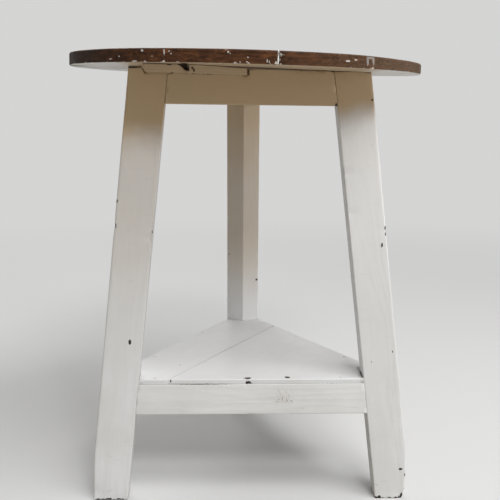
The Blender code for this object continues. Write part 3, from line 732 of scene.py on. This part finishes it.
hollow_rises = (
    (-0.1525, 0.0), (-0.1500, 0.0041), (-0.0970, 0.0044), (-0.0530, 0.0036), (-0.0320, 0.0031),
    (-0.0100, 0.0031), (0.0270, 0.0024), (0.0630, 0.0016), (0.0920, 0.0010), (0.1580, 0.0),
)
strip_rises = (
    (-0.1500, 0.0032), (-0.1120, 0.0035), (-0.0970, 0.0043), (-0.0530, 0.0032),
    (-0.0320, 0.0021), (-0.0100, 0.0007), (0.0010, 0.0004),
)


def eased(value, low, high):
    """A smooth step of a number between two limits."""
    share = min(1.0, max(0.0, (value - low) / (high - low)))
    return share * share * (3 - 2 * share)


def read_off(table, place):
    """A value between the rows of a table, level past its ends."""
    if place <= table[0][0]:
        return table[0][1]
    for (start, low), (end, high) in zip(table, table[1:]):
        if place <= end:
            return low + (high - low) * (place - start) / (end - start)
    return table[-1][1]


def under_top(place):
    """The drop of a place below the plane of the top's underside."""
    return (top_middle - place).dot(top_normal)


def bent_top(place):
    """The hollow in the underside, and the right end, worn in front and sprung behind."""
    sprung = 0.0030
    worn = 0.0016
    skin = 0.004
    from_middle = place - top_middle
    inside_rim = top_radius - math.hypot(from_middle.x, from_middle.y)
    right = eased(place.x, 0.12, 0.24)
    behind = eased(place.y, -0.04, 0.18)
    move = sprung * right * behind
    if under_top(place) > -skin:
        over_strip = eased(inside_rim, 0.004, 0.026) * (1 - eased(place.y, -0.080, -0.030))
        move += read_off(hollow_rises, place.x) * over_strip
    else:
        move -= worn * right * (1 - behind)
    return Vector((0, 0, move))


def bent_strip(place):
    """The strip reaches up into the hollow, and its ragged end fills its seat."""
    seat_depth = 0.0093
    least_reach = 0.0005
    slant = 0.0030
    share = min(1.0, max(0.0, 1 - under_top(place) / seat_depth))
    end = eased(-place.x, 0.132, 0.141)
    longer = end * (least_reach + slant * (1 - share))
    return Vector((-longer, 0, read_off(strip_rises, place.x) * share))


def bent_shelf(place):
    """The square notch beside the right leg, drawn in towards the leg."""
    sideways = 0.0022
    forwards = 0.0070
    in_notch = -0.1240 < place.y < -0.0805 and place.x > 0.1725
    on_side = in_notch and place.x < 0.1750
    on_back = in_notch and place.y > -0.0818
    return Vector((sideways if on_side else 0.0, -forwards if on_back else 0.0, 0))


def reaching(along):
    """Ends brought up to the legs, since the paint bridges the joints."""
    stretch = 0.0016
    return lambda place: along * ((place - axis_place).dot(along) * stretch)


def worn_foot(leg):
    """The outer corner of a foot, drawn in where the wood is worn round."""
    if leg not in worn_feet:
        return None
    half_foot = 0.028
    side, wear = worn_feet[leg]
    foot = leg_feet[leg]
    along = leg_along[leg]

    def move(place):
        outward_by = side * (place - foot - along * (place.z / along.z)).x
        share = min(1.0, max(0.0, outward_by / half_foot))
        return Vector((-side * share * read_off(wear, place.z), 0, 0))
    return move


def nicked(piece, nicks):
    """Small nicks in the top's upper arris, each at a bearing round the rim."""
    arris_height = 0.0145
    for bearing, width, depth in nicks:
        out = Vector((math.sin(bearing), -math.cos(bearing), 0))
        at = top_middle + out * top_radius
        for vertex in piece.data.vertices:
            level = vertex.co - at
            level.z = 0
            if level.length < width and under_top(vertex.co) < -arris_height:
                vertex.co -= out * depth * 0.7 + up * depth


# Legs, aprons, stretchers and shelf. A flake, split or cut is a centre, half sizes and
# raggedness, and a knock is a centre, a radius and a depth.

leg_flakes_and_shade = {
    "left": (((-0.1781, -0.1402, 0.2505), (0.0021, 0.006, 0.0044), 0.5),
             ((-0.1934, -0.1255, 0.4640), (0.0018, 0.004, 0.0028), 0.8),
             ((-0.1977, -0.1274, 0.4275), (0.0030, 0.004, 0.0044), 0.8),
             ((-0.1412, -0.1290, 0.4180), (0.0010, 0.004, 0.0028), 1.2),
             ((-0.1660, -0.1148, 0.6585), (0.0130, 0.006, 0.0014), 0.6)),
    "right": (((0.2018, -0.1311, 0.3960), (0.0015, 0.006, 0.0034), 0.6),
              ((0.2063, -0.1283, 0.4212), (0.0014, 0.004, 0.0030), 0.9),
              ((0.2075, -0.1290, 0.4120), (0.0014, 0.004, 0.0026), 0.9),
              ((0.1837, -0.1176, 0.6092), (0.0014, 0.004, 0.0020), 0.9),
              ((0.2210, -0.1413, 0.2332), (0.0009, 0.004, 0.0020), 0.9),
              # Partly dirt and partly painted shade: the dark patch on the right leg's inner side
              # where the shelf meets it
              ((0.1779, -0.1180, 0.1915), (0.0016, 0.020, 0.0034), 0.4),
              ((0.1892, -0.1423, 0.2171), (0.0006, 0.004, 0.0009), 0.9),
              ((0.2370, -0.1531, 0.0474), (0.0028, 0.006, 0.0018), 0.9),
              ((0.2440, -0.1537, 0.0376), (0.0009, 0.004, 0.0026), 0.9),
              ((0.2405, -0.1555, 0.0040), (0.0034, 0.012, 0.0036), 1.2)),
    "back": (((0.0310, 0.1915, 0.2715), (0.0022, 0.006, 0.0022), 0.7),
             ((-0.0217, 0.1848, 0.3229), (0.0012, 0.006, 0.0010), 0.8)),
}
leg_knocks = {
    "left": (((-0.1405, -0.1290, 0.4240), 0.0070, 0.0022),
             ((-0.1425, -0.1300, 0.4080), 0.0090, 0.0026),
             ((-0.1980, -0.1270, 0.4270), 0.0060, 0.0014),
             ((-0.2350, -0.1560, 0.0120), 0.0120, 0.0020)),
    "right": (((0.2075, -0.1290, 0.4160), 0.0060, 0.0014),
              ((0.2425, -0.1560, 0.0060), 0.0100, 0.0022),
              ((0.1480, -0.1250, 0.5050), 0.0080, 0.0018),
              ((0.1560, -0.1290, 0.4450), 0.0070, 0.0016)),
    "back": (((0.0330, 0.1900, 0.3600), 0.0070, 0.0018),
             ((-0.0250, 0.2100, 0.1200), 0.0080, 0.0020),
             ((0.0330, 0.2600, 0.0500), 0.0100, 0.0024)),
}
leg_feet = {
    "left": Vector((-0.2117, -0.1357, 0)),
    "right": Vector((0.2225, -0.1368, 0)),
    "back": Vector((0.0044, 0.2391, 0)),
}
leg_along = {
    "left": Vector((0.1092, 0.0630, 1.0)).normalized(),
    "right": Vector((-0.1092, 0.0630, 1.0)).normalized(),
    "back": Vector((0.0, -0.1261, 1.0)).normalized(),
}
# The side that a foot is worn on, and how deep at each height
worn_feet = {
    "left": (-1, ((0.004, 0.0045), (0.015, 0.0034), (0.031, 0.0028), (0.052, 0.0012),
                  (0.080, 0.0))),
    "right": (1, ((0.003, 0.0081), (0.010, 0.0077), (0.021, 0.0068), (0.031, 0.0055),
                  (0.041, 0.0033), (0.055, 0.0022), (0.072, 0.0))),
}
# Smoke stain mixed with painted warm shade and its heights, then painted warm shade on the front
# faces and its heights
leg_smoke_and_shade = {
    "left": (0.98, (0.51, 0.60), 0.22, (0.26, 0.44)),
    "right": (0.98, (0.56, 0.62), 0.10, (0.46, 0.57)),
    "back": (0.80, (0.40, 0.60), 0.50, (0.21, 0.36)),
}
apron_flakes = (((0.1315, -0.1181, 0.6020), (0.0022, 0.006, 0.0030), 0.7),)
# Thin dark lines along the top of the front stretcher: painted shade of the gap under the shelf
# boards' front edge
joint_gap_shade = (
    ((-0.0630, -0.1445, 0.1842), (0.0570, 0.0040, 0.0009), 0.45),
    ((0.1250, -0.1445, 0.1842), (0.0500, 0.0040, 0.0005), 1.3),
)
knot_cuts = (
    ((0.0485, -0.1460, 0.1589), (0.0016, 0.0040, 0.0008), 0.8),
    ((0.0540, -0.1460, 0.1594), (0.0007, 0.0040, 0.0030), 0.7),
    ((0.0602, -0.1460, 0.1584), (0.0008, 0.0040, 0.0020), 0.7),
    ((0.0613, -0.1460, 0.1566), (0.0008, 0.0040, 0.0016), 0.7),
    ((0.0674, -0.1460, 0.1572), (0.0007, 0.0040, 0.0018), 0.7),
    ((0.0684, -0.1460, 0.1553), (0.0008, 0.0040, 0.0016), 0.7),
    ((0.0457, -0.1460, 0.1560), (0.0018, 0.0040, 0.0006), 0.8),
    ((0.0847, -0.1465, 0.1452), (0.0006, 0.0040, 0.0020), 0.7),
)
stretcher_knot = ((0.0552, -0.1460, 0.1650), (0.0230, 0.0300, 0.0190), knot_cuts)
stretcher_knocks = (
    ((0.0583, -0.1473, 0.1373), 0.0045, 0.0013),
    ((0.0737, -0.1474, 0.1372), 0.0040, 0.0011),
    ((0.0042, -0.1473, 0.1382), 0.0040, 0.0009),
)
shelf_seam_front = Vector((-0.1212, -0.1437, 0))
shelf_seam_along = Vector((0.1835, 0.2985, 0.0)).normalized()
shelf_seam_across = Vector((shelf_seam_along.y, -shelf_seam_along.x, 0))
shelf_flakes = (
    ((0.0012, -0.1385, 0.1912), (0.0056, 0.0042, 0.003), 1.1),
    ((0.0612, -0.1358, 0.1912), (0.0038, 0.0040, 0.003), 0.9),
    ((-0.1055, -0.0741, 0.1912), (0.0012, 0.0012, 0.003), 0.5),
    ((-0.1167, -0.1442, 0.1890), (0.0010, 0.0030, 0.0026), 0.8),
    ((0.0014, -0.1440, 0.1852), (0.0044, 0.0030, 0.0032), 0.5),
)
strip_splits = (
    ((-0.0793, -0.1150, 0.6566), (0.0014, 0.0040, 0.0024), 0.9),
    ((-0.0768, -0.1150, 0.6534), (0.0014, 0.0040, 0.0024), 0.9),
    ((-0.0975, -0.1142, 0.6618), (0.0034, 0.0040, 0.0011), 0.9),
    ((-0.0900, -0.1142, 0.6612), (0.0040, 0.0040, 0.0014), 0.9),
    ((-0.0846, -0.1148, 0.6560), (0.0012, 0.0040, 0.0036), 1.1),
    ((-0.1088, -0.1160, 0.6500), (0.0022, 0.0040, 0.0006), 0.9),
    ((-0.1130, -0.1150, 0.6616), (0.0030, 0.0040, 0.0008), 1.2),
)


def dress_legs():
    """Paint on the legs, tan at their heads with smoke stain and painted warm shade, and bare at
    the floor.
    """
    for number, (leg, along) in enumerate(leg_along.items()):
        out = up if leg == "back" else Vector((0, -1, 0))
        across = out.cross(along).normalized()
        foot = leg_feet[leg]
        pith = (0, foot.dot(across) + 0.008, foot.dot(along.cross(across)) - 0.022)
        smoke_and_shade, smoke_and_shade_reach, shade_haze, shade_haze_reach = leg_smoke_and_shade[leg]
        finish = paint_finish(
            "leg_paint_" + leg, along, across, leg_flakes_and_shade[leg], wear=0.02, relief=1.3, pith=pith,
            foot=0.0050, smoke_and_shade=smoke_and_shade, smoke_and_shade_reach=smoke_and_shade_reach, shade_haze=shade_haze, shade_haze_reach=shade_haze_reach)
        worked_wood("leg_" + leg, finish, spacing=(0.009, 0.009, 0.005),
                    wave=0.00022, dent=0.0011, seed=3.1 + number, bend=worn_foot(leg),
                    knocks=leg_knocks[leg])


def dress_rails():
    """Paint on the aprons and stretchers, with marks on those of the front side."""
    for number, side in enumerate(side_turns):
        front = side == "front"
        along = outward(side).cross(up)
        # The aprons under the top are tan with smoke stain and painted warm shade.
        finish = paint_finish(
            "apron_paint_" + side, along, up, apron_flakes if front else (), wear=0.08,
            relief=0.6, smoke_and_shade=0.97, smoke_and_shade_reach=(0.50, 0.60))
        worked_wood("apron_" + side, finish, spacing=(0.007, 0.007, 0.007),
                    wave=0.00018, dent=0.0005, seed=11.3 + number)
        finish = paint_finish(
            "stretcher_paint_" + side, along, up, joint_gap_shade if front else (), wear=0.05,
            relief=1.9, white=rail_white, knot=stretcher_knot if front else None)
        worked_wood("stretcher_" + side, finish, spacing=(0.006, 0.006, 0.006),
                    wave=0.00020, dent=0.0003, seed=17.9 + number, bend=reaching(along),
                    knocks=stretcher_knocks if front else ())


def dress_shelf():
    """Smoother paint on the shelf, with dirt in its seam; its white is lighter and bluer than the
    legs' as painted light.
    """
    for number, (board, bend) in enumerate((("left", None), ("right", bent_shelf))):
        finish = paint_finish(
            "shelf_paint_" + board, shelf_seam_along, shelf_seam_across, shelf_flakes, wear=0.04,
            relief=0.4, polish=0.14, white=lit_shelf_white,
            seam=(shelf_seam_front, shelf_seam_across))
        worked_wood("shelf_board_" + board, finish, spacing=(0.007, 0.007, 0),
                    wave=0.00015, dent=0.0007, seed=23.7 + number, bend=bend)


def dress_strip():
    """Split paint on the repair strip over torn wood, tan with smoke stain and painted warm
    shade.
    """
    finish = paint_finish("strip_paint", Vector((1, 0, 0)), up, strip_splits, wear=0.10,
                          relief=1.6, smoke_and_shade=0.9, broken=True)
    worked_wood("repair_strip", finish, spacing=(0.004, 0, 0.0025), wave=0.00020,
                dent=0.0005, seed=31.1, film=0.00022, bend=bent_strip)


# The top and the small fittings. A nick is a bearing, a width and a depth.
rim_nicks = {
    "left": ((-0.62, 0.0018, 0.0010), (-0.33, 0.0016, 0.0008), (-0.16, 0.0018, 0.0009)),
    "right": ((0.438, 0.0026, 0.0024), (0.875, 0.0034, 0.0024), (0.30, 0.0018, 0.0010)),
}


def dress_top():
    """Bare wood on the two boards of the top."""
    left = top_finish("top_wood_left", (0, -0.10, 0.52), 0.35)
    right = top_finish("top_wood_right", (0, 0.22, 0.50), 0.85)
    boards = (("left", left, 41.3, (-0.1500, -0.1525)), ("right", right, 42.7, ()))
    for name, finish, seed, steps in boards:
        cuts = [(Vector((x, 0, 0)), Vector((1, 0, 0))) for x in steps]
        for bearing, width, _ in rim_nicks[name]:
            along_rim = Vector((math.cos(bearing), math.sin(bearing), 0))
            for offset in (-width, 0, width):
                cuts.append((top_middle + along_rim * offset, along_rim))
        piece = worked_wood("top_board_" + name, finish,
                            spacing=(0.008, 0.008, 0.006), wave=0.00020, dent=0.0012, seed=seed,
                            cuts=cuts, bend=bent_top)
        nicked(piece, rim_nicks[name])


def dress_fittings():
    """Filler, dowels, screws and nails; two nails show through the paint of the shelf."""
    painted_over = steel_finish("painted_nail", 0.20, 0.30)
    laid_bare = steel_finish("bare_nail", 0.56, 0.60, (0.035, 0.030, 0.027))
    finishes = {"seam_filler": filler_finish(), "top_dowel": dowel_finish(),
                "top_screw": steel_finish("screw_steel", 0.56, 0.60), "shelf_nail": painted_over,
                "shelf_nail_front_2": laid_bare, "shelf_nail_front_3": laid_bare}
    for name, node in nodes.items():
        for start, finish in finishes.items():
            if name.startswith(start):
                node.material_slots[0].material = finish


# Floor and light

def add_floor():
    """A plain pale floor that fades into the surround."""
    material, tree, shader, place = new_finish("studio_floor")
    seen = tree.add("ShaderNodeLightPath").outputs["Is Camera Ray"]
    tree.feed(shader.inputs["Base Color"], tree.blend(seen, (0.52, 0.50, 0.46), studio_pale))
    shader.inputs["Roughness"].default_value = 0.8
    far = tree.ease(tree.vector("LENGTH", place), 0.6, 3.0)
    glow = tree.add("ShaderNodeEmission", inputs={"Color": (*studio_pale, 1.0), "Strength": 1.0})
    fade = tree.add("ShaderNodeMixShader", inputs={
        0: far, 1: shader.outputs[0], 2: glow.outputs[0]})
    surface = material.node_tree.nodes["Material Output"].inputs["Surface"]
    tree.feed(surface, fade.outputs[0])
    mesh = bmesh.new()
    bmesh.ops.create_circle(mesh, cap_ends=True, segments=96, radius=30.0)
    data = bpy.data.meshes.new("studio_floor")
    mesh.to_mesh(data)
    mesh.free()
    data.materials.append(material)
    floor = bpy.data.objects.new("studio_floor", data)
    bpy.context.scene.collection.objects.link(floor)


def add_surround():
    """An even pale surround, brighter where the camera or a reflection meets it."""
    world = bpy.data.worlds.new("studio")
    bpy.context.scene.world = world
    world.use_nodes = True
    tree = Tree(world.node_tree)
    background = world.node_tree.nodes["Background"]
    path = tree.add("ShaderNodeLightPath")
    seen = tree.reckon("MAXIMUM", path.outputs["Is Camera Ray"], path.outputs["Is Glossy Ray"])
    background.inputs["Color"].default_value = (*studio_pale, 1.0)
    tree.feed(background.inputs["Strength"], tree.ease(seen, 0.0, 1.0, 0.49, 1.0))


def add_lamp(name, place, size, power):
    """A soft lamp, turned towards the middle of the table."""
    light = bpy.data.lights.new(name, "AREA")
    light.shape = "RECTANGLE"
    light.size, light.size_y = size
    light.energy = power
    lamp = bpy.data.objects.new(name, light)
    bpy.context.scene.collection.objects.link(lamp)
    lamp.location = place
    aim = Vector((0.0, 0.0, 0.35)) - Vector(place)
    lamp.rotation_euler = aim.to_track_quat("-Z", "Y").to_euler()


add_camera()
dress_legs()
dress_rails()
dress_shelf()
dress_strip()
dress_top()
dress_fittings()
add_floor()
add_surround()
add_lamp("front_lamp", (0.85, -3.78, 3.56), (1.28, 0.96), 82)
add_lamp("high_lamp", (1.1, -1.1, 2.9), (1.6, 1.2), 50)
add_lamp("right_lamp", (2.3, -0.5, 0.6), (1.6, 1.0), 16)
add_lamp("back_lamp", (-0.9, 2.3, 2.0), (1.5, 1.2), 20)
bpy.context.scene.view_settings.view_transform = "Standard"
